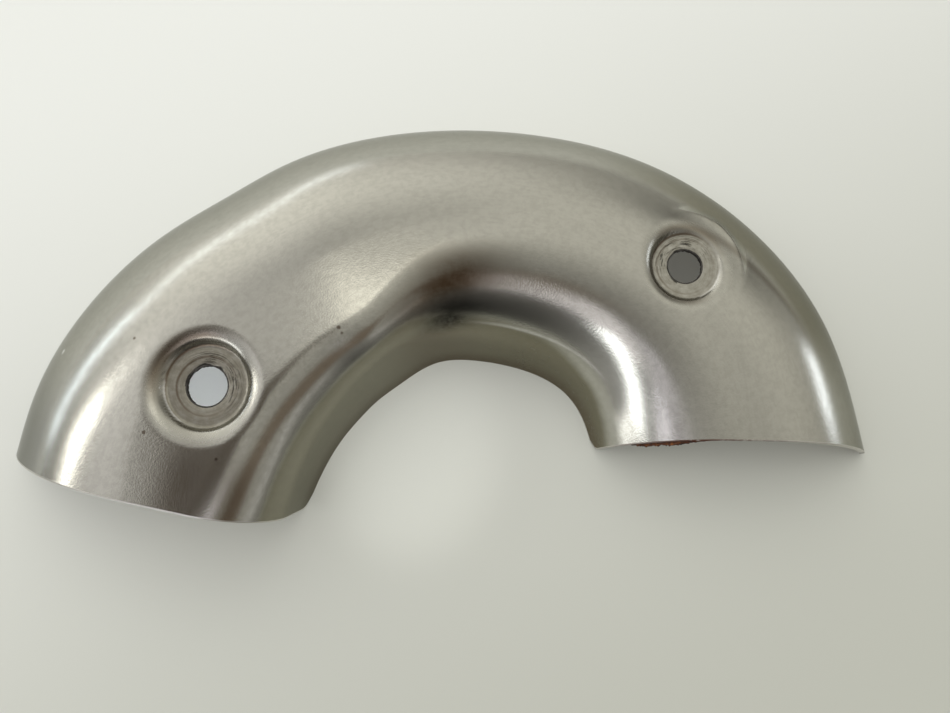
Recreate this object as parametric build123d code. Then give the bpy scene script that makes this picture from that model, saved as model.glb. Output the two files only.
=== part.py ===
from build123d import *
import os
from dataclasses import dataclass, fields
from math import cos, radians, sin, tan

# Pressed sheet
SHEET = 1.0

# Lower rims in plan, left end to right end. Each pair of points carries one cross section.
OUTER_RIM = [(-90.7, -18.3), (-88.5, -8.5), (-81, 7.5), (-64.5, 25.5), (-51.5, 34), (-39.5, 41),
             (-11.5, 48), (16, 46.5), (38.5, 40), (58, 26.5), (72, 6.5), (78.2, -19.9)]
INNER_RIM = [(-33.2, -30.3), (-31.5, -26), (-28, -19), (-23, -12.5), (-19.5, -9), (-15.5, -6),
             (-8, -1.5), (0.5, -1), (10, -3), (17.5, -7), (21.5, -12.5), (23.5, -19.1)]

# Arches from left to right: crown height, shoulder radii, and slopes at the rims in degrees
LEFT_HEIGHT = 23.5
LEFT_OUTER_R = 35.0
LEFT_OUTER_SLOPE = 70
LEFT_INNER_R = 13.0
LEFT_INNER_SLOPE = 86
BEND_HEIGHT = 24.0
BEND_OUTER_R = 31.0
BEND_OUTER_SLOPE = 72
BEND_INNER_R = 8.5
BEND_INNER_SLOPE = 79
NECK_HEIGHT = 23.0
NECK_OUTER_R = 26.0
NECK_OUTER_SLOPE = 73
NECK_INNER_R = 20.0
NECK_INNER_SLOPE = 74
RIGHT_HEIGHT = 16.5
RIGHT_OUTER_R = 28.0
RIGHT_OUTER_SLOPE = 63
RIGHT_INNER_R = 25.0
RIGHT_INNER_SLOPE = 64

# End cuts: how far their tops lean outwards, in degrees, and the rounding of their lower corners
LEFT_LEAN = 8.0
RIGHT_LEAN = -5.4
LEFT_CORNER = 3.5
RIGHT_CORNER = 1.8

# Bolt seats: place in plan, depth under the crown, flat radius, hole and wall slope in degrees
LEFT_SEAT_AT = (-46.5, -8.6)
LEFT_SEAT_DEPTH = 3.2
LEFT_HOLE = 7.0
RIGHT_SEAT_AT = (38.6, 14.0)
RIGHT_SEAT_DEPTH = 2.5
RIGHT_HOLE = 6.4
SEAT_R = 6.8
SEAT_SLOPE = 50
SEAT_BLEND = 1.5
SEAT_RIM_BLEND = 1.5

# Land under the right seat, which stands out of the falling outer shoulder
LAND_R = 11.0
LAND_SLOPE = 65
LAND_BLEND = 0.8

# Sections whose crowns the seats lie under, and the points along each section
LEFT_SEAT_SECTION = 2
RIGHT_SEAT_SECTION = 9
ARCH_STEPS = 16

# Room that the cutting forms keep beyond the sheet
SPARE = 3.0
OVERRUN = 2 * SPARE
WASTE = 2 * OVERRUN

# Distance within which two edges are the same edge
SAME = 0.001


@dataclass
class Arch:
    """Cross section: crown height, and for each shoulder its radius and its slope at the rim."""
    height: float
    outer_r: float
    outer_slope: float
    inner_r: float
    inner_slope: float


# Numbered sections with a given arch. Those between are blended.
ARCHES = {
    0: Arch(LEFT_HEIGHT, LEFT_OUTER_R, LEFT_OUTER_SLOPE, LEFT_INNER_R, LEFT_INNER_SLOPE),
    5: Arch(BEND_HEIGHT, BEND_OUTER_R, BEND_OUTER_SLOPE, BEND_INNER_R, BEND_INNER_SLOPE),
    7: Arch(NECK_HEIGHT, NECK_OUTER_R, NECK_OUTER_SLOPE, NECK_INNER_R, NECK_INNER_SLOPE),
    11: Arch(RIGHT_HEIGHT, RIGHT_OUTER_R, RIGHT_OUTER_SLOPE, RIGHT_INNER_R, RIGHT_INNER_SLOPE),
}


def arch_at(section):
    """Arch of any section, blended between the two given ones on either side of it."""
    given = sorted(ARCHES)
    low = max(number for number in given if number <= section)
    high = min(number for number in given if number >= section)
    share = (section - low) / (high - low) if high > low else 0
    near, far = ARCHES[low], ARCHES[high]
    values = [getattr(near, f.name) * (1 - share) + getattr(far, f.name) * share for f in fields(Arch)]
    return Arch(*values)


@dataclass
class Shoulder:
    """Half an arch, from the crown over a round shoulder and down a straight flank past the rim."""
    height: float
    radius: float
    slope: float

    def __post_init__(self):
        self.turn = radians(self.slope)
        self.arc = self.radius * self.turn
        self.foot = self.height - self.radius * (1 - cos(self.turn))
        self.reach = self.radius * sin(self.turn) + self.foot / tan(self.turn)
        self.run = self.arc + (self.foot + SPARE) / sin(self.turn)

    def point(self, run):
        """Distance out from the crown and height, at a length along the shoulder."""
        if run <= self.arc:
            angle = run / self.radius
            return self.radius * sin(angle), self.height - self.radius * (1 - cos(angle))
        rest = run - self.arc
        return self.radius * sin(self.turn) + rest * cos(self.turn), self.foot - rest * sin(self.turn)

    def inset(self, depth):
        return Shoulder(self.height - depth, self.radius - depth, self.slope)


def section_points(outer, inner, arch, depth):
    """Evenly spaced points along an arch, outer rim to inner rim, at a depth under its outer face."""
    start = Vector(*outer)
    across = Vector(*inner) - start
    outer_side = Shoulder(arch.height, arch.outer_r, arch.outer_slope)
    inner_side = Shoulder(arch.height, arch.inner_r, arch.inner_slope)
    outer_crown = outer_side.reach
    inner_crown = across.length - inner_side.reach
    roof = inner_crown - outer_crown
    outer_side = outer_side.inset(depth)
    inner_side = inner_side.inset(depth)
    length = outer_side.run + roof + inner_side.run
    points = []
    for step in range(ARCH_STEPS + 1):
        run = length * step / ARCH_STEPS - outer_side.run
        if run < 0:
            out, high = outer_side.point(-run)
            place = outer_crown - out
        elif run <= roof:
            place, high = outer_crown + run, arch.height - depth
        else:
            out, high = inner_side.point(run - roof)
            place = inner_crown + out
        points.append(start + across.normalized() * place + Vector(0, 0, high))
    return points


def past_end(end, before):
    """Point of a rim a little beyond its end."""
    end, before = Vector(*end), Vector(*before)
    beyond = end + (end - before).normalized() * OVERRUN
    return beyond.X, beyond.Y


def half_tube(depth):
    """Solid form of the bent half tube, at a depth under the sheet's outer face, longer than the sheet."""
    last = len(OUTER_RIM) - 1
    places = list(zip(OUTER_RIM, INNER_RIM, range(last + 1)))
    first_place = (past_end(*OUTER_RIM[:2]), past_end(*INNER_RIM[:2]), 0)
    last_place = (past_end(*OUTER_RIM[:-3:-1]), past_end(*INNER_RIM[:-3:-1]), last)
    steps = [step / ARCH_STEPS for step in range(ARCH_STEPS + 1)]
    wires = []
    for outer, inner, section in [first_place, *places, last_place]:
        points = section_points(outer, inner, arch_at(section), depth)
        arch = Edge.make_spline(points, parameters=steps)
        wires.append(Wire([arch, Edge.make_line(points[-1], points[0])]))
    return Solid.make_loft(wires)


# Middle of each seat's flat face
LEFT_SEAT = Vector(*LEFT_SEAT_AT, arch_at(LEFT_SEAT_SECTION).height - LEFT_SEAT_DEPTH)
RIGHT_SEAT = Vector(*RIGHT_SEAT_AT, arch_at(RIGHT_SEAT_SECTION).height - RIGHT_SEAT_DEPTH)


def punch(seat, depth):
    """Round punch that presses a seat: flat face, blended corner and sloping wall."""
    slope = radians(SEAT_SLOPE)
    radius = SEAT_R + depth * tan(slope / 2)
    tall = seat.Z
    with BuildPart() as form:
        with BuildSketch(Plane.XZ) as half:
            with BuildLine():
                Polyline((0, 0), (radius, 0), (radius + tall / tan(slope), tall), (0, tall), close=True)
            make_face()
            fillet(half.vertices().sort_by_distance((radius, 0, 0))[0], SEAT_BLEND + depth)
        revolve(axis=Axis.Z)
    return form.part.solid().moved(Location(seat - Vector(0, 0, depth)))


def land(seat, depth):
    """Round land that stands up to a seat's flat face."""
    slope = radians(LAND_SLOPE)
    radius = LAND_R - depth * tan(slope / 2)
    tall = seat.Z - depth
    return Solid.make_cone(radius + tall / tan(slope), radius, tall).moved(Location((seat.X, seat.Y, 0)))


def seams(joined, *pieces):
    """Edges of a joined form that none of its pieces has."""
    old = [edge for piece in pieces for edge in piece.edges()]
    return [edge for edge in joined.edges()
            if all(other.distance_to(edge.position_at(0.5)) > SAME for other in old)]


def pressed(depth):
    """Form of the sheet's outer face, or of its inner face at a depth of one sheet."""
    tube = half_tube(depth)
    stand = land(RIGHT_SEAT, depth)
    raised = tube + stand
    foot = [edge for edge in seams(raised, tube, stand) if edge.center().Z < RIGHT_SEAT.Z - depth - SAME]
    form = raised.fillet(LAND_BLEND + depth, foot)
    for seat in (LEFT_SEAT, RIGHT_SEAT):
        tool = punch(seat, depth)
        cut = form - tool
        rim = seams(cut, form, tool)
        form = cut.fillet(SEAT_RIM_BLEND + SHEET - depth, rim)
    return form


def end_waste(outer_rim, inner_rim, lean, corner):
    """Waste beyond the end where two rims start, with the rounding of its two lower corners."""
    outer, outer_next = [Vector(*place) for place in outer_rim[:2]]
    inner, inner_next = [Vector(*place) for place in inner_rim[:2]]
    up = Vector(0, 0, 1)
    chord = inner - outer
    onward = outer_next + inner_next - outer - inner
    inward = (onward - chord * (onward.dot(chord) / chord.length ** 2)).normalized()
    slant = radians(lean)
    top = max(arch.height for arch in ARCHES.values()) + SPARE
    tangent = corner / tan(radians(90 + lean) / 2)
    on_end = (-tangent * sin(slant), tangent * cos(slant))
    with BuildPart() as waste:
        with BuildSketch(Plane(origin=(outer + inner) / 2, x_dir=inward, z_dir=inward.cross(up))):
            with BuildLine():
                Polyline((tangent, 0), (tangent, -SPARE), (-WASTE, -SPARE), (-WASTE, top),
                         (-top * tan(slant), top), on_end)
                RadiusArc(on_end, (tangent, 0), -corner)
            make_face()
        extrude(amount=chord.length / 2 + SPARE, both=True)
    return waste.part.solid()


def bolt_hole(seat, bore):
    return Solid.make_cylinder(bore / 2, seat.Z).moved(Location((seat.X, seat.Y, 0)))


def heat_shield():
    """The pressed sheet, lying on its rims with its middle over the origin."""
    sheet = pressed(0) - pressed(SHEET)
    sheet = split(sheet, bisect_by=Plane.XY, keep=Keep.TOP)
    sheet -= end_waste(OUTER_RIM, INNER_RIM, LEFT_LEAN, LEFT_CORNER)
    sheet -= end_waste(OUTER_RIM[::-1], INNER_RIM[::-1], RIGHT_LEAN, RIGHT_CORNER)
    sheet -= bolt_hole(LEFT_SEAT, LEFT_HOLE)
    sheet -= bolt_hole(RIGHT_SEAT, RIGHT_HOLE)
    box = sheet.bounding_box()
    middle = box.center()
    return sheet.moved(Location((-middle.X, -middle.Y, -box.min.Z)))


os.makedirs("parts", exist_ok=True)
export_step(heat_shield(), "parts/heat_shield.step")
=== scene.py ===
from dataclasses import dataclass
from math import cos, pi, radians, sin, tan

import bpy
import numpy as np
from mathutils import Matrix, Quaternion, Vector


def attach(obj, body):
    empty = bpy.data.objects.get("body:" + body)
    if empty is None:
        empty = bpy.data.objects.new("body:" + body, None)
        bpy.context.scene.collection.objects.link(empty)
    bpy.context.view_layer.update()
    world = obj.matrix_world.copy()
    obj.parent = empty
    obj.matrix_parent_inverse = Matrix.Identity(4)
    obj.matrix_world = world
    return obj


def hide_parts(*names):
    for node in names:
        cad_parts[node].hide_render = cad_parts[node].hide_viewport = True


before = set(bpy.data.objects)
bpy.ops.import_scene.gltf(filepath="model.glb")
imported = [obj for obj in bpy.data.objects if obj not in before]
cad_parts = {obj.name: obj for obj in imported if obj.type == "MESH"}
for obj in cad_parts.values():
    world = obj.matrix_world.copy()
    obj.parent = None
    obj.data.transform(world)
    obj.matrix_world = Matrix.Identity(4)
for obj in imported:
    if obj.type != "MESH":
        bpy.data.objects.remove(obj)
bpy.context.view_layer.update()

# The shield: one satin stainless sheet, bent as half a tube over the elbow of an exhaust pipe.
# It is pressed in a die, so every section is a crown between two round shoulders and straight flanks.
# Two bolts hold it to the pipe, through round seats that are sunk into the same sheet.
SHEET = 1.0

# Lower rims on the plan in millimetres, left end to right end. Each pair of points carries one section.
OUTER_RIM = np.array([
    (-90.7, -18.3), (-88.5, -8.5), (-81, 7.5), (-64.5, 25.5), (-51.5, 34), (-39.5, 41),
    (-11.5, 48), (16, 46.5), (38.5, 40), (58, 26.5), (72, 6.5), (78.2, -19.9)])
INNER_RIM = np.array([
    (-33.2, -30.3), (-31.5, -26), (-28, -19), (-23, -12.5), (-19.5, -9), (-15.5, -6),
    (-8, -1.5), (0.5, -1), (10, -3), (17.5, -7), (21.5, -12.5), (23.5, -19.1)])

# Arches of numbered sections: crown height, outer radius and slope, inner radius and slope
ARCHES = {
    0: (23.5, 35, 70, 13, 86),
    5: (24, 31, 72, 8.5, 79),
    7: (23, 26, 73, 20, 74),
    11: (16.5, 28, 63, 25, 64),
}

# End cuts: how far their tops lean outwards, in degrees, and the rounding of their lower corners
LEFT_LEAN = 8.0
LEFT_CORNER = 3.5
RIGHT_LEAN = -5.4
RIGHT_CORNER = 1.8

# Middle of the rims' box on the plan, which lies at the frame's origin
PLAN_MIDDLE = np.array([-6.19715, 8.09387, 0.0])


def in_frame(places):
    """Places in the frame, in metres, of places on the plan, in millimetres."""
    return (np.asarray(places, float) - PLAN_MIDDLE) / 1000


def smooth_through(knots, values, places):
    """Natural cubic curve through values at knots, straight beyond its ends, read at places."""
    gap = np.diff(knots)
    rise = np.diff(values, axis=0) / gap[:, None]
    system = np.eye(len(knots))
    target = np.zeros_like(values)
    for k in range(1, len(knots) - 1):
        system[k, k - 1:k + 2] = gap[k - 1], 2 * (gap[k - 1] + gap[k]), gap[k]
        target[k] = 6 * (rise[k] - rise[k - 1])
    bend = np.linalg.solve(system, target)
    at = np.clip(places, knots[0], knots[-1])
    k = np.clip(np.searchsorted(knots, at) - 1, 0, len(gap) - 1)
    a = ((knots[k + 1] - at) / gap[k])[:, None]
    b = 1 - a
    g = gap[k][:, None]
    bow = (a ** 3 - a) * bend[k] + (b ** 3 - b) * bend[k + 1]
    found = a * values[k] + b * values[k + 1] + bow * g * g / 6
    slope = rise[k] + g * ((3 * b * b - 1) * bend[k + 1] - (3 * a * a - 1) * bend[k]) / 6
    return found + slope * (places - at)[:, None]


sections = np.arange(len(OUTER_RIM))
arch_rows = np.array([np.interp(sections, list(ARCHES), values) for values in zip(*ARCHES.values())]).T
middle_steps = np.linalg.norm(np.diff((OUTER_RIM + INNER_RIM) / 2, axis=0), axis=1)
run_at_section = np.concatenate([[0], np.cumsum(middle_steps)])
whole_run = run_at_section[-1]


class Shoulder:
    """One side of many arches: a round shoulder, and a straight flank from there down to the rim."""

    def __init__(self, height, radius, slope):
        self.height = height
        self.radius = radius
        self.turn = np.radians(slope)
        self.arc = radius * self.turn
        foot = height - radius * (1 - np.cos(self.turn))
        self.reach = radius * np.sin(self.turn) + foot / np.tan(self.turn)
        self.length = self.arc + foot / np.sin(self.turn)

    def point(self, down):
        """Distance out from the crown's edge and height, at a length down the shoulder."""
        on_arc = np.minimum(down, self.arc) / self.radius
        rest = np.maximum(down - self.arc, 0)
        out = self.radius * np.sin(on_arc) + rest * np.cos(self.turn)
        high = self.height - self.radius * (1 - np.cos(on_arc)) - rest * np.sin(self.turn)
        return out, high


def skin(run, share):
    """Points of the sheet's outer face, at lengths along the bend and shares of the way across it."""
    shape = run.shape
    run, share = run.ravel(), share.ravel()
    start = smooth_through(run_at_section, OUTER_RIM, run)
    across = smooth_through(run_at_section, INNER_RIM, run) - start
    width = np.linalg.norm(across, axis=1)
    height, outer_r, outer_slope, inner_r, inner_slope = smooth_through(run_at_section, arch_rows, run).T
    outer = Shoulder(height, outer_r, outer_slope)
    inner = Shoulder(height, inner_r, inner_slope)
    roof = width - outer.reach - inner.reach
    along = share * (outer.length + roof + inner.length) - outer.length
    outer_out, outer_high = outer.point(np.maximum(-along, 0))
    inner_out, inner_high = inner.point(np.maximum(along - roof, 0))
    place = np.where(along <= roof, outer.reach + along, outer.reach + roof + inner_out)
    place = np.where(along < 0, outer.reach - outer_out, place)
    high = np.where(along <= roof, height, inner_high)
    high = np.where(along < 0, outer_high, high)
    flat = start + across / width[:, None] * place[:, None]
    return np.column_stack([flat, high]).reshape(*shape, 3)


HALVINGS = 40
SEEK_OUT = 12
SEEK_IN = 30


class EndCut:
    """Cut across the end where two rims start: its top leans outwards and its lower corners are rounded."""

    def __init__(self, outer_rim, inner_rim, lean, corner, span):
        chord = inner_rim[0] - outer_rim[0]
        onward = outer_rim[1] + inner_rim[1] - outer_rim[0] - inner_rim[0]
        self.inward = onward - chord * (onward @ chord) / (chord @ chord)
        self.inward /= np.linalg.norm(self.inward)
        self.middle = (outer_rim[0] + inner_rim[0]) / 2
        self.slant = radians(lean)
        self.corner = corner
        self.tangent = corner / tan(radians(90 + lean) / 2)
        self.span = span

    def inside(self, points):
        """How far points lie inside the cut."""
        high = np.clip(points[..., 2], 0, None)
        rounding = self.tangent - np.sqrt(np.maximum(self.corner ** 2 - (high - self.corner) ** 2, 0))
        line = -high * tan(self.slant)
        edge = np.where(high < self.tangent * cos(self.slant), rounding, line)
        return (points[..., :2] - self.middle) @ self.inward - edge

    def meet(self, share):
        """Lengths along the bend where the cut meets the lines at these shares across, found by halving."""
        low = np.full(len(share), float(self.span[0]))
        high = np.full(len(share), float(self.span[1]))
        low_inside = self.inside(skin(low, share)) > 0
        for _ in range(HALVINGS):
            half = (low + high) / 2
            same = (self.inside(skin(half, share)) > 0) == low_inside
            low = np.where(same, half, low)
            high = np.where(same, high, half)
        return (low + high) / 2


left_cut = EndCut(OUTER_RIM, INNER_RIM, LEFT_LEAN, LEFT_CORNER, (-SEEK_OUT, SEEK_IN))
right_cut = EndCut(OUTER_RIM[::-1], INNER_RIM[::-1], RIGHT_LEAN, RIGHT_CORNER,
                   (whole_run - SEEK_IN, whole_run + SEEK_OUT))


@dataclass
class Seat:
    """Pressed bolt seat: its floor's middle, its radii, how strong its grime and painted light are, and where
    its scuffs, painted hole shade and painted highlight lie, in degrees from +X.
    """
    middle: tuple
    hole_r: float
    foot_r: float
    bowl_r: float
    back_reach: float
    dirt_and_painted_light: float
    scuff_turn: float
    shade_turn: float
    shade_wide: float
    highlight_turn: float


LEFT_SEAT = Seat((-46.5, -8.6, 21.5), hole_r=3.5, foot_r=7.2, bowl_r=11.2, back_reach=0.0,
                 dirt_and_painted_light=0.85, scuff_turn=40, shade_turn=80, shade_wide=0.3, highlight_turn=205)
RIGHT_SEAT = Seat((38.6, 14.0, 17.6), hole_r=3.05, foot_r=6.1, bowl_r=9.0, back_reach=1.6,
                  dirt_and_painted_light=0.5, scuff_turn=110, shade_turn=20, shade_wide=0.2, highlight_turn=320)
SEATS = (LEFT_SEAT, RIGHT_SEAT)


def off_axis(points, seat):
    """Distance of points from a seat's axis."""
    return np.hypot(points[..., 0] - seat.middle[0], points[..., 1] - seat.middle[1])


SEEK_RUNS = 400
SEEK_SHARES = 200
SEEK_SPAN = (0.1, 0.9)


def over_seat(seat):
    """Length along the bend and share across it, of the skin over a seat."""
    runs, shares = np.meshgrid(np.linspace(0, whole_run, SEEK_RUNS), np.linspace(*SEEK_SPAN, SEEK_SHARES),
                               indexing="ij")
    off = off_axis(skin(runs, shares), seat)
    best = np.unravel_index(off.argmin(), off.shape)
    return runs[best], shares[best]


WIDE_STEP = 1.15
FINE_STEP = 0.42
FINE_REACH = 12.0
STEP_EASE = 8.0
STEP_PROBES = 4001


def graded(start, end, middles):
    """Places from start to end, a wide step apart, and a fine step apart around the seats' middles."""
    probe = np.linspace(start, end, STEP_PROBES)
    step = np.full_like(probe, WIDE_STEP)
    for middle in middles:
        beyond = np.clip((np.abs(probe - middle) - FINE_REACH) / STEP_EASE, 0, 1)
        step = np.minimum(step, FINE_STEP + (WIDE_STEP - FINE_STEP) * beyond)
    count = np.concatenate([[0], np.cumsum(np.diff(probe) / ((step[1:] + step[:-1]) / 2))])
    return np.interp(np.linspace(0, count[-1], int(round(count[-1])) + 1), count, probe)


# Grid of the outer face: rows across the bend, which turn to follow the cut near each end
ACROSS = 78.0
END_REACH = 16.0
seat_runs, seat_shares = np.array([over_seat(seat) for seat in SEATS]).T
shares = graded(0, ACROSS, seat_shares * ACROSS) / ACROSS
run_start = left_cut.meet(shares)
run_end = right_cut.meet(shares)
runs = graded(run_start.mean(), run_end.mean(), seat_runs)
start_pull = np.clip(1 - (runs - runs[0]) / END_REACH, 0, 1)[:, None] ** 2
end_pull = np.clip(1 - (runs[-1] - runs) / END_REACH, 0, 1)[:, None] ** 2
run_grid = runs[:, None] + start_pull * (run_start - runs[0])[None] + end_pull * (run_end - runs[-1])[None]
share_grid = np.broadcast_to(shares[None], run_grid.shape)
face = skin(run_grid, share_grid)


def grid_normals(points):
    """Directions straight out of a grid of points, upwards in its middle."""
    along = np.gradient(points, axis=0)
    across = np.gradient(points, axis=1)
    found = np.cross(along, across)
    found /= np.linalg.norm(found, axis=2, keepdims=True)
    return found if found[len(found) // 2, found.shape[1] // 2, 2] > 0 else -found


# Slope of the skin in degrees before the seats are sunk, less than 0 on the outer side
pitch_grid = np.degrees(np.arccos(np.clip(grid_normals(face)[..., 2], -1, 1))) * np.sign(share_grid - 0.5)


def soft_most(a, b, round_off):
    """The greater of two heights, with the corner between them filled."""
    near = np.maximum(1 - np.abs(a - b) / round_off, 0)
    return np.maximum(a, b) + near * near * round_off / 4


def soft_step(low, high, value):
    """Smooth rise from 0 at low to 1 at high."""
    part = np.clip((value - low) / (high - low), 0, 1)
    return part * part * (3 - 2 * part)


# The right seat has a land, which stands out of the falling shoulder, so its floor runs out flush there
LAND_R = 10.8
LAND_LOW = 0.6
LAND_SLOPE = 62
LAND_ROUND = 1.6
land_fall = np.maximum(off_axis(face, RIGHT_SEAT) - LAND_R, 0) * tan(radians(LAND_SLOPE))
face[..., 2] = soft_most(face[..., 2], RIGHT_SEAT.middle[2] - LAND_LOW - land_fall, LAND_ROUND)

# Both seats are sunk with a round punch: a flat floor, a firm foot and a wall that eases into the skin.
# The washer has pressed a shallow ring into the floor, and the hole's lip is drawn down a little.
FOOT_STEP = 0.34
FOOT_WIDE = 0.22
WALL_EASE = 2.2
BACK_START = 0.3
WASHER_R = 5.2
WASHER_IN = 0.25
WASHER_OUT = 0.15
WASHER_SINK = 0.08
LIP_IN = 0.1
LIP_OUT = 0.75
LIP_SINK = 0.12
for seat in SEATS:
    floor_high = seat.middle[2]
    off = off_axis(face, seat)
    back_side = np.clip((face[..., 1] - seat.middle[1]) / off - BACK_START, 0, 1)
    bowl_r = seat.bowl_r + seat.back_reach * back_side
    up_wall = np.clip((off - seat.foot_r) / (bowl_r - seat.foot_r), 0, 1)
    eased = 1 - (1 - up_wall) ** WALL_EASE
    lift = FOOT_STEP * soft_step(0, FOOT_WIDE, up_wall) + (1 - FOOT_STEP) * eased
    high = floor_high + (face[..., 2] - floor_high) * lift
    high -= WASHER_SINK * (1 - soft_step(WASHER_R - WASHER_IN, WASHER_R + WASHER_OUT, off))
    high -= LIP_SINK * (1 - soft_step(seat.hole_r + LIP_IN, seat.hole_r + LIP_OUT, off))
    face[..., 2] = high

# Cells of the outer face, without those in the holes
points = face.reshape(-1, 3)
normals = grid_normals(face).reshape(-1, 3)
number = np.arange(len(points)).reshape(face.shape[:2])
cells = np.stack([number[:-1, :-1], number[:-1, 1:], number[1:, 1:], number[1:, :-1]], axis=-1).reshape(-1, 4)
centres = points[cells].mean(axis=1)
for seat in SEATS:
    outside = off_axis(centres, seat) > seat.hole_r
    cells = cells[outside]
    centres = centres[outside]

# Every free edge of the skin, in the turning sense of its cell
cell_edges = np.stack([cells, np.roll(cells, -1, axis=1)], axis=-1).reshape(-1, 2).tolist()
turned_edges = {(b, a) for a, b in cell_edges}
free = np.array([(a, b) for a, b in cell_edges if (a, b) not in turned_edges])
free_points = np.unique(free)

# Free edges around the holes lie on the true circle
HOLE_SNAP = 1.5
for seat in SEATS:
    axis = np.array(seat.middle[:2])
    off = off_axis(points, seat)
    hole_edge = free_points[off[free_points] < seat.hole_r + HOLE_SNAP]
    spoke = (points[hole_edge, :2] - axis) / off[hole_edge, None]
    points[hole_edge, :2] = axis + spoke * seat.hole_r

# Outward direction in the sheet at every free point
outward = np.zeros_like(points)
edge_out = np.cross(points[free[:, 1]] - points[free[:, 0]], normals[free[:, 0]])
for k in (0, 1):
    np.add.at(outward, free[:, k], edge_out)
outward[free_points] /= np.linalg.norm(outward[free_points], axis=1, keepdims=True)
first = free[0, 0]
first_cell = cells[np.any(cells == first, axis=1)][0]
if outward[first] @ (points[first_cell].mean(axis=0) - points[first]) > 0:
    outward = -outward

# The sheet's thickness: the same skin one sheet lower, and a strip with rounded arrises at every free edge.
# Each line of the strip has its distance back from the edge in millimetres and its depth in sheets.
SET_BACK = 0.28
ARRIS = [(0.11, 0.0), (0.03, 0.03), (0.0, 0.11), (0.0, 0.5), (0.0, 0.89), (0.03, 0.97), (0.11, 1.0)]
strips = []
for back, depth in ARRIS:
    strips.append(points[free_points] - outward[free_points] * back - normals[free_points] * depth * SHEET)
points[free_points] -= outward[free_points] * SET_BACK
every = np.vstack([points, points - normals * SHEET, *strips])
every[:, 2] = np.maximum(every[:, 2], 0.0)

# Rust scale, which has grown in lumps along the lower arris of the right end.
# Its span, peak and width are shares of the way across, and its depth is in sheets.
SCALE_SPAN = (0.60, 0.845)
SCALE_PEAK = 0.755
SCALE_WIDE = 0.075
SCALE_BASE = 0.35
SCALE_THICK = 0.55
SCALE_LUMPS = (0.45, 1.35)
SCALE_TIP = 0.02
SCALE_DEPTH = 0.8
SCALE_PROUD = 0.45
SCALE_FLAT = 0.8
SCALE_STEPS = 110
SCALE_SIDES = 8
STEP_BACK = 0.2
rng = np.random.default_rng(5)
scale_share = np.linspace(*SCALE_SPAN, SCALE_STEPS)
scale_run = right_cut.meet(scale_share)
scale_edge = skin(scale_run, scale_share)
scale_in = skin(scale_run - STEP_BACK, scale_share) - scale_edge
scale_normal = np.cross(scale_in, np.gradient(scale_edge, axis=0))
scale_normal *= np.sign(scale_normal[:, 2:3]) / np.linalg.norm(scale_normal, axis=1, keepdims=True)
scale_out = np.append(-right_cut.inward, 0.0)
growth = np.exp(-((scale_share - SCALE_PEAK) / SCALE_WIDE) ** 2)
growth += SCALE_BASE * np.sin(np.linspace(0, pi, SCALE_STEPS))
lumps = rng.uniform(*SCALE_LUMPS, (SCALE_STEPS, SCALE_SIDES))
lumps = (np.roll(lumps, 1, axis=0) + 2 * lumps + np.roll(lumps, -1, axis=0)) / 4
thick = SCALE_THICK * np.minimum(growth, 1.0)[:, None] * lumps
thick[[0, -1]] = SCALE_TIP
lump_turn = np.linspace(0, 2 * pi, SCALE_SIDES, endpoint=False)[None, :, None]
lump_way = (np.cos(lump_turn) + SCALE_PROUD) * scale_out
lump_way = lump_way + SCALE_FLAT * np.sin(lump_turn) * scale_normal[:, None]
scale_points = (scale_edge - scale_normal * SCALE_DEPTH * SHEET)[:, None] + thick[..., None] * lump_way
scale_number = np.arange(SCALE_STEPS * SCALE_SIDES).reshape(SCALE_STEPS, SCALE_SIDES) + len(every)
scale_next = np.roll(scale_number, -1, axis=1)
scale_faces = np.stack([scale_number[:-1], scale_number[1:], scale_next[1:], scale_next[:-1]], axis=-1)
scale_faces = scale_faces.reshape(-1, 4)
every = np.vstack([every, scale_points.reshape(-1, 3)])

# All faces, in the order of their four finishes: outside, inside, cut edges and rust scale
strip_number = np.full(len(points), -1)
strip_number[free_points] = np.arange(len(free_points))
strip_lines = [2 * len(points) + k * len(free_points) + strip_number[free] for k in range(len(ARRIS))]
edge_lines = [free, *strip_lines, free + len(points)]
edge_faces = np.vstack([np.stack([near[:, 1], near[:, 0], far[:, 0], far[:, 1]], axis=-1)
                        for near, far in zip(edge_lines, edge_lines[1:])])
finishes = [cells, cells[:, ::-1] + len(points), edge_faces, scale_faces]
faces = np.vstack(finishes)
finish_of = np.repeat(np.arange(len(finishes)), [len(group) for group in finishes])
used = np.unique(faces)
renumber = np.full(len(every), -1)
renumber[used] = np.arange(len(used))


def add_object(name, data):
    """Object of that name in the scene, from its mesh, lamp or camera."""
    made = bpy.data.objects.new(name, data)
    bpy.context.scene.collection.objects.link(made)
    return made


shield_mesh = bpy.data.meshes.new("heat_shield_skin")
shield_mesh.from_pydata(in_frame(every[used]).tolist(), [], renumber[faces].tolist())
shield_mesh.polygons.foreach_set("use_smooth", np.ones(len(faces), bool))
shield_mesh.polygons.foreach_set("material_index", finish_of.astype(np.int32))
shield = add_object("pressed_shield", shield_mesh)
shield_mesh.validate()
shield_mesh.update()

# Places on the sheet, which the finishes read: along the bend, across it, and the slope
for name, grid in (("run", run_grid), ("across", share_grid), ("pitch", pitch_grid)):
    sheet_values = np.tile(grid.reshape(-1), 2)
    strip_values = np.tile(sheet_values[free_points], len(ARRIS))
    scale_values = np.full(SCALE_STEPS * SCALE_SIDES, grid[-1, 0])
    values = np.concatenate([sheet_values, strip_values, scale_values])[used]
    shield_mesh.attributes.new(name, "FLOAT", "POINT").data.foreach_set("value", values.astype(np.float32))


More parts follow.
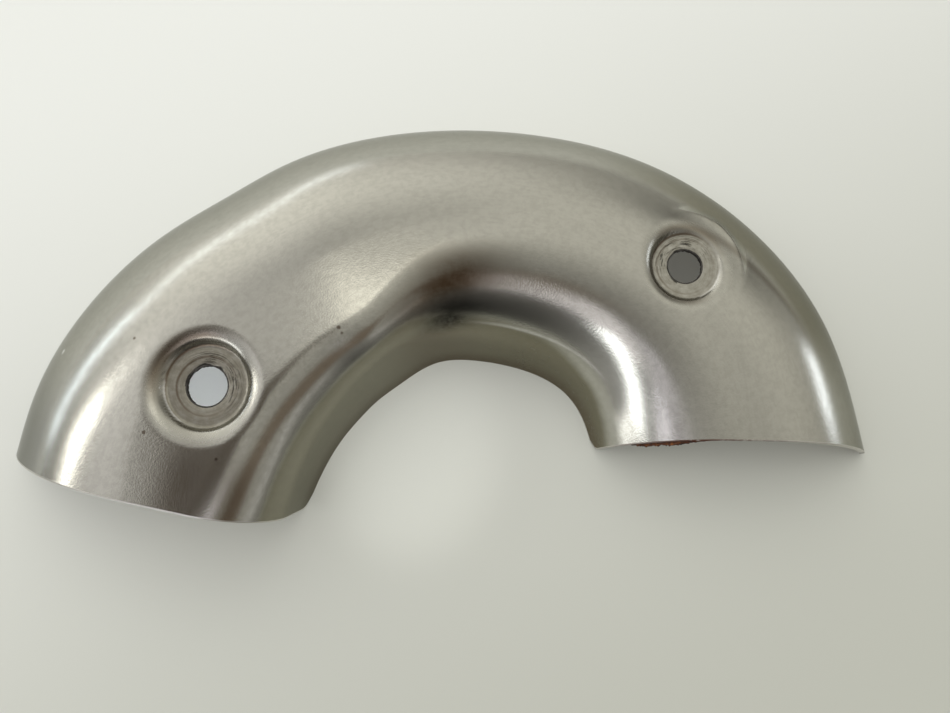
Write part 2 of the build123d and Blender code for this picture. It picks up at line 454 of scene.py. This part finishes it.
class Socket:
    """Output of a shader node, on which sums can be written."""

    def __init__(self, output):
        self.output = output
        self.tree = output.id_data

    def feed(self, sockets):
        """Set or link sockets of this output's own node, by name or number."""
        for name, value in sockets.items():
            target = self.output.node.inputs[name]
            if isinstance(value, Socket):
                self.tree.links.new(value.output, target)
            else:
                target.default_value = value

    def node(self, kind, settings=None, sockets=None, out=0):
        """Output of a new node beside this one: its settings are set first, and then its sockets."""
        made = self.tree.nodes.new(kind)
        for name, value in (settings or {}).items():
            setattr(made, name, value)
        result = Socket(made.outputs[out])
        result.feed(sockets or {})
        return result

    def maths(self, operation, *values):
        return self.node("ShaderNodeMath", {"operation": operation}, dict(enumerate(values)))

    def __add__(self, other):
        return self.maths("ADD", self, other)

    def __radd__(self, other):
        return self.maths("ADD", other, self)

    def __sub__(self, other):
        return self.maths("SUBTRACT", self, other)

    def __rsub__(self, other):
        return self.maths("SUBTRACT", other, self)

    def __mul__(self, other):
        return self.maths("MULTIPLY", self, other)

    def __rmul__(self, other):
        return self.maths("MULTIPLY", other, self)


def new_material(name):
    """Material, and the output of its surface shader, which its other nodes start from and feed."""
    material = bpy.data.materials.new(name)
    material.use_nodes = True
    return material, Socket(material.node_tree.nodes["Principled BSDF"].outputs[0])


def place_on(surface):
    """Place on the object, in metres."""
    return surface.node("ShaderNodeTexCoord", out="Object")


def sheet_value(surface, name):
    """Value that the sheet's mesh carries under that name."""
    return surface.node("ShaderNodeAttribute", {"attribute_name": name}, out=2)


def between(value, low, high):
    """Smooth rise from 0 at low to 1 at high."""
    return value.node("ShaderNodeMapRange", {"interpolation_type": "SMOOTHSTEP"}, {0: value, 1: low, 2: high})


def blend(share, first, second):
    """Colour between two others."""
    return share.node("ShaderNodeMix", {"data_type": "RGBA"}, {0: share, 6: first, 7: second}, out=2)


def band(value, centre, half):
    """Soft band that is 1 at centre and 0 at half its width from there."""
    return 1 - between(value.maths("ABSOLUTE", value - centre), 0.0, half)


def noise(where, scale, detail=3.0, roughness=0.55):
    """Cloudy pattern, about 0.5 in the mean."""
    return where.node("ShaderNodeTexNoise", None,
                      {0: where, "Scale": scale, "Detail": detail, "Roughness": roughness})


def vector(*parts):
    """Vector of three values, the first of which is a socket."""
    return parts[0].node("ShaderNodeCombineXYZ", None, dict(enumerate(parts)))


def vector_maths(place, operation, sockets, out="Vector"):
    """Vector sum beside a place, with its sockets by number."""
    return place.node("ShaderNodeVectorMath", {"operation": operation}, sockets, out)


def around(place, seat):
    """Distance from a seat's axis in millimetres, and the turn about it in radians, 0 at +X."""
    off = vector_maths(place, "SUBTRACT", {0: place, 1: tuple(in_frame(seat.middle))})
    off = vector_maths(place, "MULTIPLY", {0: off, 1: (1000, 1000, 0)})
    x = off.node("ShaderNodeSeparateXYZ", None, {0: off}, "X")
    y = off.node("ShaderNodeSeparateXYZ", None, {0: off}, "Y")
    return vector_maths(place, "LENGTH", {0: off}, "Value"), y.maths("ARCTAN2", y, x)


def facing_side(turn, degrees):
    """1 on the side of a seat that lies at that turn, 0 on the other side."""
    return turn.maths("COSINE", turn - radians(degrees)) * 0.5 + 0.5


# Its colour also carries painted shade, painted dark reflections and painted highlights.
# The outside: ground to a fine satin before it was pressed, and dulled since by heat, dirt and bolts.
# In the masks run is millimetres from the left end, across is the share of the way from the outer rim,
# and pitch is the slope in degrees.
CLEAN = (0.470, 0.461, 0.414, 1)
FLANK_OLIVE = (0.205, 0.190, 0.135, 1)
DULL_GREY = (0.255, 0.255, 0.250, 1)
SHADE_BROWN = (0.142, 0.110, 0.076, 1)
SEAT_DIRT_AND_SHADE = (0.255, 0.238, 0.195, 1)
RUST_AND_SHADE = (0.105, 0.070, 0.042, 1)
GRAIN = (0.300, 0.290, 0.255, 1)
PALE_HIGHLIGHT = (0.700, 0.690, 0.670, 1)
BLACK = (0.012, 0.011, 0.010, 1)
NICK = (0.980, 0.980, 0.980, 1)
steel, satin = new_material("satin_stainless")
satin.feed({"Metallic": 1.0, "Specular Tint": (0.62, 0.62, 0.60, 1)})
run = sheet_value(satin, "run")
across = sheet_value(satin, "across")
pitch = sheet_value(satin, "pitch")
place = place_on(satin)
cloud = noise(place, 90.0, 4.0)
mottle = noise(place, 800.0, 4.0, 0.65)
hatch = noise(vector(run * 0.45, across * 190.0, 0.0), 1.0, 4.0, 0.6)
drift = cloud - 0.5
fleck = mottle - 0.5

# Darker olive tone where the inner flank is steep and on the outer flank towards the right end, and a dull
# grey on the outer flank at the left end
inner_flank_dark = between(pitch - 7 * between(run, 95.0, 130.0) + drift * 6, 49.0, 57.0)
inner_flank_dark = (0.76 + 0.2 * between(run, 60.0, 110.0)) * inner_flank_dark
right_span = between(run, 95.0, 122.0) * (1 - 0.8 * between(run, 139.0, 153.0))
right_flank_dark = right_span * between(0 - pitch, 29.0, 37.0)
left_flank_dark = (1 - between(run, 2.0, 18.0)) * between(0 - pitch, 29.0, 35.0)
flank_darkening = (inner_flank_dark + 0.8 * right_flank_dark) * (0.8 + 0.4 * mottle)
colour = blend(flank_darkening, CLEAN, FLANK_OLIVE)
colour = blend(0.65 * left_flank_dark, colour, DULL_GREY)
# Painted shade: brown low on the inner flank, where it meets the table
colour = blend(0.6 * between(across, 0.93, 0.99), colour, SHADE_BROWN)

# Painted dark reflections: brown on the inside of the bend and across the left end, and a black spot in the
# bend
bend_dark_reflection = band(run + drift * 6, 83.0, 18.0) * band(across, 0.640, 0.085)
bend_dark_reflection = bend_dark_reflection + 0.9 * band(run + drift * 8, 75.0, 20.0) * band(across, 0.705, 0.075)
# Painted shade low on the bend's inner flank
bend_flank_shade = band(run, 74.0, 26.0) * between(across, 0.76, 0.80)
end_dark_reflection = band(across, 0.605, 0.075) + 1.2 * band(across, 0.705, 0.05)
end_dark_reflection = (1 - between(run, 2.0, 15.0)) * end_dark_reflection
bend_black_reflection = band(run + drift * 6, 80.5, 14.5) * band(across + drift * 0.02, 0.764, 0.072)
colour = blend(0.92 * bend_dark_reflection + 0.5 * end_dark_reflection + 0.4 * bend_flank_shade, colour, SHADE_BROWN)
colour = blend(0.95 * bend_black_reflection, colour, BLACK)

# Painted shade in a narrow valley down the outer shoulder, from the right seat's land
crease_shade = between(run, 112.0, 124.0) * (1 - between(run, 132.0, 146.0))
crease_shade = crease_shade * band(across + run * 0.0035, 0.7515, 0.024)
colour = blend(0.5 * crease_shade, colour, SHADE_BROWN)

# Single marks: a bright nick low on the outer flank, and dark specks.
# Each has its place on the plan, its size in millimetres, its strength and its colour.
MARKS = [
    ((-76.3, -1.4, 14.1), 0.7, 1.0, NICK),
    ((-23.5, 1.3, 23.9), 0.45, 0.8, RUST_AND_SHADE),
    ((-22.9, 0.3, 23.9), 0.4, 0.8, RUST_AND_SHADE),
    ((-55.9, -16.7, 23.6), 0.4, 0.8, RUST_AND_SHADE),
    ((-43.4, -21.2, 23.6), 0.35, 0.8, RUST_AND_SHADE),
    ((-59.3, -0.3, 22.3), 0.35, 0.7, RUST_AND_SHADE),
]
for mark_at, size, strength, mark in MARKS:
    away = vector_maths(place, "DISTANCE", {0: place, 1: tuple(in_frame(mark_at))}, "Value") * 1000
    on_mark = 1 - between(away + fleck * size, 0.5 * size, size)
    colour = blend(strength * on_mark, colour, mark)

# Painted highlight: a thin pale line along the fold between the roof and the inner flank, beyond the bend
fold_highlight = between(run, 84.0, 104.0) * (1 - between(run, 122.0, 136.0))
fold_highlight = fold_highlight * band(across - run * 0.0008, 0.7185, 0.009)
colour = blend(0.8 * fold_highlight, colour, PALE_HIGHLIGHT)

# Fine satin grain
colour = blend(0.24 * between(mottle + 0.5 * (hatch - 0.5), 0.35, 0.70), colour, GRAIN)

# Dirt, washer rings and scuffs on the two seats, painted shade on their walls and feet and round their holes,
# and a painted highlight at each foot
dull = flank_darkening * 0.3
for seat in SEATS:
    hole_r, foot_r = seat.hole_r, seat.foot_r
    off, turn = around(place, seat)
    streaks = noise(vector(turn * 1.6, off * 3.4, 0.0), 1.0, 5.0, 0.7)
    ragged = noise(vector(turn * 0.9, off * 0.5, 4.0), 1.0, 3.0, 0.55) - 0.5
    on_floor = 1 - between(off, foot_r - 0.1, foot_r + 0.35)
    floor_dirt = on_floor * (seat.dirt_and_painted_light + fleck * 1.3 + (streaks - 0.5))
    colour = blend(floor_dirt, colour, SEAT_DIRT_AND_SHADE)
    # Dirt all round the wall, with painted shade added towards the south-west
    wall_dirt_and_shade = band(off, foot_r + 0.9, 1.6) * (0.25 + 0.5 * facing_side(turn, 235))
    colour = blend(wall_dirt_and_shade * (0.5 * seat.dirt_and_painted_light), colour, SEAT_DIRT_AND_SHADE)
    washer_line = band(off + ragged * 0.5, WASHER_R, 0.34) * (0.25 + 0.6 * facing_side(turn, 160))
    colour = blend(washer_line * seat.dirt_and_painted_light, colour, RUST_AND_SHADE)
    # Painted shade: a dark line at the foot of the wall, strongest on the north-west
    foot_shade = band(off + ragged * 0.3, foot_r + 0.05, 0.36) * between(facing_side(turn, 125), 0.4, 0.95)
    colour = blend(foot_shade * 0.85, colour, RUST_AND_SHADE)
    scuffed = between(streaks, 0.50, 0.60) * between(facing_side(turn, seat.scuff_turn), 0.35, 0.85)
    colour = blend(band(off, hole_r + 1.5, 1.9) * scuffed * 0.9, colour, BLACK)
    # Painted shadow of the hole's far wall: a black ragged edge round the hole, widest towards one side
    hole_shade_edge = hole_r + 0.02 + seat.shade_wide * facing_side(turn, seat.shade_turn)
    hole_shade = 1 - between(off + ragged * 2.0 - hole_shade_edge, 0.0, 0.2)
    colour = blend(hole_shade * 0.93, colour, BLACK)
    if seat is RIGHT_SEAT:
        # Painted shade on the right seat's wall, at the back and at the front
        back_wall_shade = band(off, foot_r + 1.1, 1.3) * between(facing_side(turn, 85), 0.6, 0.95)
        front_wall_shade = band(off, foot_r + 0.8, 1.2) * between(facing_side(turn, 240), 0.6, 0.95)
        colour = blend(0.6 * back_wall_shade + 0.5 * front_wall_shade, colour, SHADE_BROWN)
    else:
        # Painted shade on the left seat's back wall
        back_wall_shade = band(off, foot_r + 1.6, 2.1) * between(facing_side(turn, 128), 0.55, 0.95)
        colour = blend(0.86 * back_wall_shade, colour, SHADE_BROWN)
    # Painted highlight: a pale arc at the foot of the wall, on one side
    foot_highlight = between(facing_side(turn, seat.highlight_turn), 0.88, 0.98)
    foot_highlight = foot_highlight * band(off + ragged * 0.2, foot_r + 0.15, 0.24)
    colour = blend(0.95 * seat.dirt_and_painted_light * foot_highlight, colour, PALE_HIGHLIGHT)
    dull = dull + 0.6 * floor_dirt + 0.5 * hole_shade + 0.35 * (1 - between(off, foot_r + 2.2, foot_r + 4.0))

grain = noise(place, 3200.0, 2.0)
ripple = grain.node("ShaderNodeBump", None,
                    {"Strength": 0.14, "Distance": 0.0001, "Height": grain + hatch * 0.10})
rough = 0.19 + drift * 0.05 + fleck * 0.05 + (hatch - 0.5) * 0.04 + 0.24 * dull
satin.feed({"Base Color": colour, "Roughness": rough, "Normal": ripple})

# The inside: the same sheet, which the pipe's heat has tinted straw and brown.
# Fine rust specks lie on it, most of them towards the right end.
STRAW = (0.60, 0.56, 0.49, 1)
TAN = (0.46, 0.38, 0.28, 1)
RUST_SPECK = (0.12, 0.055, 0.03, 1)
inside, stained = new_material("heat_stained_inside")
place = place_on(stained)
cloud = noise(place, 70.0, 5.0, 0.6)
speck = noise(place, 700.0, 4.0, 0.7)
run = sheet_value(stained, "run")
tint = blend(between(cloud, 0.35, 0.65), STRAW, TAN)
specked = between(speck + 0.5 * (cloud - 0.5), 0.55, 0.68) * (0.25 + 0.75 * between(run, 128.0, 150.0))
tint = blend(specked, tint, RUST_SPECK)
rough = 0.36 + 0.25 * cloud + 0.3 * specked
uneven = speck.node("ShaderNodeBump", None, {"Strength": 0.25, "Distance": 0.0002, "Height": speck})
stained.feed({"Metallic": 0.9, "Base Color": tint, "Roughness": rough, "Normal": uneven})

# The cut edges: bright where the sheet was trimmed at the left end, and rusted at the right one, with that
# rust painted darker for the shade on the edge.
# A dark spot of painted shade lies on the right end's outer corner, and in the holes the edges are painted
# black as shade.
BARE_EDGE = (0.56, 0.54, 0.50, 1)
EDGE_RUST_SHADED = (0.085, 0.030, 0.015, 1)
CORNER_SHADE = (0.045, 0.030, 0.020, 1)
HOLE_WALL_BLACK = (0.022, 0.019, 0.016, 1)
HOLE_SHADE_IN = 4.6
HOLE_SHADE_OUT = 5.0
edge, trimmed = new_material("cut_edge")
place = place_on(trimmed)
run = sheet_value(trimmed, "run")
across = sheet_value(trimmed, "across")
speck = noise(place, 900.0, 4.0, 0.65)
right_end = between(run, 120.0, 135.0)
# Rust on the right end's edge, in a colour painted darker for the shade there
edge_rust_and_shade = right_end * band(across, 0.66, 0.36) * between(speck + 0.14 * band(across, 0.72, 0.2), 0.40, 0.55)
# Painted shade: a dark spot on the right end's outer corner
corner_shade = right_end * (1 - between(across, 0.03, 0.08))
# Painted shade: the holes' cut edges are black
hole_wall_shade = sum(1 - between(around(place, seat)[0], HOLE_SHADE_IN, HOLE_SHADE_OUT) for seat in SEATS)
tint = blend(edge_rust_and_shade, BARE_EDGE, EDGE_RUST_SHADED)
tint = blend(0.85 * corner_shade, tint, CORNER_SHADE)
tint = blend(hole_wall_shade * (0.75 + 0.4 * speck), tint, HOLE_WALL_BLACK)
bare = 1 - 0.85 * edge_rust_and_shade - 0.6 * hole_wall_shade
rough = 0.28 + 0.45 * edge_rust_and_shade + 0.3 * hole_wall_shade
trimmed.feed({"Metallic": bare, "Base Color": tint, "Roughness": rough})

# The rust scale: loose red-brown crumbs, nearly black where they are thick.
# They have grown out of the cut edge, and nothing but rust holds them.
DARK_CRUMB = (0.018, 0.009, 0.007, 1)
BROWN_CRUMB = (0.125, 0.042, 0.015, 1)
ORANGE_CRUMB = (0.34, 0.125, 0.036, 1)
rust, crumbly = new_material("rust_scale")
flake = noise(place_on(crumbly), 1300.0, 4.0, 0.7)
tint = blend(between(flake, 0.38, 0.55), DARK_CRUMB, BROWN_CRUMB)
tint = blend(between(flake, 0.56, 0.66), tint, ORANGE_CRUMB)
crumbs = flake.node("ShaderNodeBump", None, {"Strength": 0.6, "Distance": 0.0003, "Height": flake})
crumbly.feed({"Base Color": tint, "Roughness": 0.9, "Normal": crumbs})

for material in (steel, inside, edge, rust):
    shield_mesh.materials.append(material)
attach(shield, "root")
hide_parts("heat_shield")

# The table: a pale matt top that the shield lies on, open side down.
# Its colour darkens towards the front as painted shade, and it glows faintly to the camera and in the polish.
TABLE_HALF = 1.5
TABLE_LIFT = 0.09
TOWARDS_BACK = (-0.35, 0.8, 0.0)
FRONT_SHADE = (0.60, 0.612, 0.552, 1)
BACK_WHITE = (0.97, 0.99, 0.965, 1)


def flat_sheet(name, corners):
    """Flat sheet with four corners, in metres."""
    mesh = bpy.data.meshes.new(name)
    mesh.from_pydata(corners, [], [(0, 1, 2, 3)])
    return add_object(name, mesh)


floor = flat_sheet("table", [(-TABLE_HALF, -TABLE_HALF, 0), (TABLE_HALF, -TABLE_HALF, 0),
                             (TABLE_HALF, TABLE_HALF, 0), (-TABLE_HALF, TABLE_HALF, 0)])
table, matt = new_material("pale_table")
place = place_on(matt)
backward = vector_maths(place, "DOT_PRODUCT", {0: place, 1: TOWARDS_BACK}, "Value")
# Painted shade: the table's colour darkens towards the front right
pale = blend(between(backward, -0.10, 0.09), FRONT_SHADE, BACK_WHITE)
matt.feed({"Base Color": pale, "Roughness": 0.7})
seen = sum(matt.node("ShaderNodeLightPath", out=ray)
           for ray in ("Is Camera Ray", "Is Glossy Ray", "Is Transmission Ray"))
shine = matt.node("ShaderNodeEmission", None, {0: pale})
lifted = matt.node("ShaderNodeMixShader", None, {0: seen * TABLE_LIFT, 1: matt, 2: shine})
lifted.tree.links.new(lifted.output, lifted.tree.nodes["Material Output"].inputs["Surface"])
floor.data.materials.append(table)

# The room's light: windows around the left, the front and the right, which the polished sheet mirrors.
# Two soft panels above and behind light the table only, as do two pools, under the left leg and in the bend.
# Cards overhead and the glow of the walls give the crown its broad light and dark reflections.
WINDOW_AWAY = 1.2
POOL_AWAY = 0.15
POOL_SOFT = 0.004


def towards(azimuth, elevation):
    """Direction from the shield, in degrees round from +X and up from the table."""
    a, e = radians(azimuth), radians(elevation)
    return Vector((cos(a) * cos(e), sin(a) * cos(e), sin(e)))


def window(name, azimuth, elevation, wide, tall, colour, glow, roll=0, lights_table=True, shows=True):
    """Panel of that angular width and height, as seen from the shield, with an even glow."""
    lamp = bpy.data.lights.new(name, "AREA")
    lamp.shape = "RECTANGLE"
    lamp.size = 2 * WINDOW_AWAY * tan(radians(wide / 2))
    lamp.size_y = 2 * WINDOW_AWAY * tan(radians(tall / 2))
    lamp.color = colour
    lamp.energy = glow * pi * lamp.size * lamp.size_y
    holder = add_object(name, lamp)
    holder.location = towards(azimuth, elevation) * WINDOW_AWAY
    holder.visible_diffuse = lights_table
    holder.visible_glossy = shows
    facing = (-holder.location).to_track_quat("-Z", "Y")
    holder.rotation_euler = (facing @ Quaternion((0, 0, 1), radians(roll))).to_euler()


window("left_low_window", 163, 8.8, 28, 2.4, (0.78, 0.88, 1.0), 5.4, -24)
window("left_far_window", 128, 10, 46, 3.5, (0.86, 0.92, 1.0), 2.0, 22)
window("left_window", 174.5, 26.3, 17, 7.5, (1.0, 0.99, 0.95), 4.4, -47)
window("left_upper_window", 164, 36, 12, 9, (1.0, 0.99, 0.97), 0.9, -47)
window("front_left_window", -131, 29.5, 44, 10, (0.91, 0.95, 1.0), 3.8, 20, lights_table=False)
window("front_left_low_window", -155, 11, 24, 8, (0.98, 0.99, 1.0), 2.4, 67, lights_table=False)
window("front_window", -100, 43, 36, 17, (0.97, 0.93, 1.0), 0.95, 8, lights_table=False)
window("front_right_window", -39, 20, 24, 5, (0.98, 0.98, 1.0), 0.4, -45)
window("top_window", 90, 72, 60, 60, (1.0, 1.0, 0.985), 0.42, shows=False)
window("back_window", 90, 45, 80, 30, (1.0, 0.99, 0.95), 0.42, shows=False)
window("right_window", 9, 4, 11, 13, (0.84, 0.90, 1.0), 2.6)


def pool(name, x, y, azimuth, elevation, spread, colour, power):
    """Soft pool of light on the table, such as the polished sheet throws or lets in at its open end."""
    lamp = bpy.data.lights.new(name, "SPOT")
    lamp.color = colour
    lamp.energy = power
    lamp.spot_size = radians(spread)
    lamp.spot_blend = 1.0
    lamp.shadow_soft_size = POOL_SOFT
    holder = add_object(name, lamp)
    aim = Vector(in_frame((x, y, 0)))
    holder.location = aim + towards(azimuth, elevation) * POOL_AWAY
    holder.visible_glossy = False
    holder.rotation_euler = (aim - holder.location).to_track_quat("-Z", "Y").to_euler()


pool("left_end_light", -54.5, -6.1, -102, 40, 11, (0.84, 0.90, 1.0), 0.60)
pool("bay_light", -13, -20, -90, 60, 18, (1.0, 1.0, 0.97), 0.19)


def flag(name, corner, far_corner, high, glow):
    """Level card above the shield, which only its polish shows, with corners and height on the plan."""
    (x0, y0), (x1, y1) = corner, far_corner
    corners = [(x0, y0, high), (x1, y0, high), (x1, y1, high), (x0, y1, high)]
    card = flat_sheet(name, in_frame(corners).tolist())
    card.visible_camera = False
    card.visible_diffuse = False
    card.visible_shadow = False
    paper, even = new_material(name)
    even.feed({"Base Color": (0, 0, 0, 1), "Specular IOR Level": 0})
    even.feed({"Emission Color": glow, "Emission Strength": 1})
    card.data.materials.append(paper)


flag("dark_flag", (-116, -66), (-35, 2), 154, (0.13, 0.108, 0.088, 1))
flag("brown_flag", (24, -178), (112, -72), 156, (0.225, 0.178, 0.135, 1))
flag("bright_flag", (-148, -101), (-62, -75), 156, (1.9, 1.86, 2.08, 1))
flag("dim_flag", (-60, -100), (-6, -68), 157, (0.92, 0.89, 0.97, 1))
flag("ceiling_flag", (-55, 19), (-6, 52), 158, (1.85, 1.81, 1.65, 1))

# Walls and ceiling: an even dimness, with glows and then darker places in it.
# Each has its direction, how tightly it is gathered there, and its colour or how much it takes away.
DIMNESS = (0.06, 0.056, 0.048)
GLOWS = [
    (85, 50, 1.9, (0.60, 0.595, 0.55)),
    (128, 15, 5.0, (0.90, 0.89, 0.84)),
    (172, 50, 9.0, (0.56, 0.55, 0.58)),
    (15, 35, 4.0, (0.41, 0.402, 0.36)),
    (-130, 5, 8.0, (0.34, 0.34, 0.34)),
    (-45, 28, 9.0, (0.17, 0.17, 0.17)),
    (60, 80, 20.0, (0.20, 0.196, 0.18)),
]
DARK_PLACES = [(124, 60, 18.0, 0.36), (42, 20, 26.0, 0.7), (-80, 9, 12.0, 0.82)]
world = bpy.data.worlds.new("room")
bpy.context.scene.world = world
world.use_nodes = True
sky = Socket(world.node_tree.nodes["Background"].outputs[0])
way = sky.node("ShaderNodeTexCoord")


def gathered(azimuth, elevation, tightness):
    """1 in one direction of the room, falling off softly around it."""
    facing = vector_maths(way, "DOT_PRODUCT", {0: way, 1: towards(azimuth, elevation)}, "Value")
    return facing.maths("EXPONENT", (facing - 1) * tightness)


room = DIMNESS
for azimuth, elevation, tightness, glow in GLOWS:
    lit = vector_maths(way, "SCALE", {0: glow, "Scale": gathered(azimuth, elevation, tightness)})
    room = vector_maths(way, "ADD", {0: room, 1: lit})
for azimuth, elevation, tightness, taken in DARK_PLACES:
    remains = 1 - taken * gathered(azimuth, elevation, tightness)
    room = vector_maths(way, "SCALE", {0: room, "Scale": remains})
sky.feed({"Color": room, "Strength": 1.0})

# The camera: held by hand almost straight above the shield, and tilted a little towards the back.
# Its lens is given by the photograph's focal length and width in pixels, its place on the plan.
FOCAL = 714
PHOTO_WIDE = 950
SENSOR = 36
EYE = (0, -22.902, 144.598)
TILT = 9
NEAREST = 0.005
camera_data = bpy.data.cameras.new("camera")
camera_data.sensor_fit = "HORIZONTAL"
camera_data.sensor_width = SENSOR
camera_data.lens = SENSOR * FOCAL / PHOTO_WIDE
camera_data.clip_start = NEAREST
camera = add_object("camera", camera_data)
camera.location = in_frame(EYE)
camera.rotation_euler = (radians(TILT), 0, 0)
bpy.context.scene.camera = camera
bpy.context.scene.view_settings.view_transform = "Standard"
